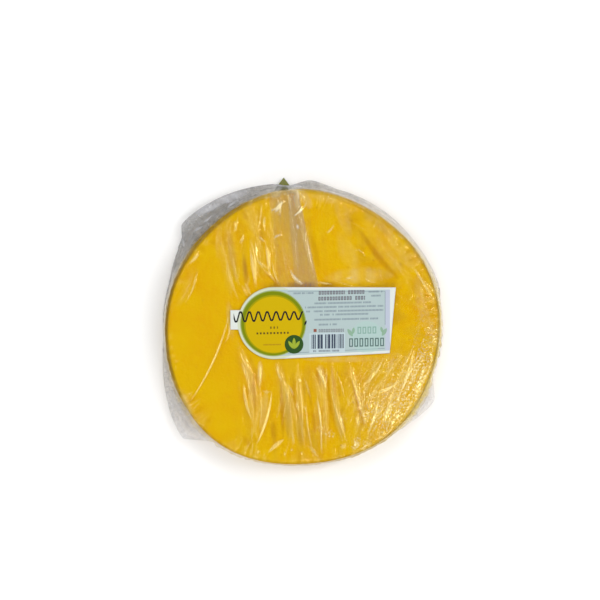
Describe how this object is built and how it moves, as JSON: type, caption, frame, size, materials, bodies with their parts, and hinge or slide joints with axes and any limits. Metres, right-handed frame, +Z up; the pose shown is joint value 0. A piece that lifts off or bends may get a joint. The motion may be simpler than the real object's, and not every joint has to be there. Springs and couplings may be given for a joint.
{
  "type": "corn tortilla pack",
  "caption": "Stack of round yellow corn tortillas sealed in a crumpled clear film bag with a small label, lying flat.",
  "frame": {"origin": "under the middle of the tortilla stack, on the flat underside the pack rests on", "axes": "+Z up out of the labelled face, +Y towards the top of the label, +X to the right along the label"},
  "size_m": [0.1744, 0.1795, 0.0268],
  "materials": {
    "film": "clear glossy film, creased, over yellow corn tortillas",
    "tortilla": "soft matte yellow corn dough with fine specks",
    "label": "satin coated paper, white edge and pale blue field",
    "seal": "satin green paper"
  },
  "bodies": {
    "root": {"bag": "film", "label": "label", "closing_seal": "seal"}
  },
  "joints": []
}
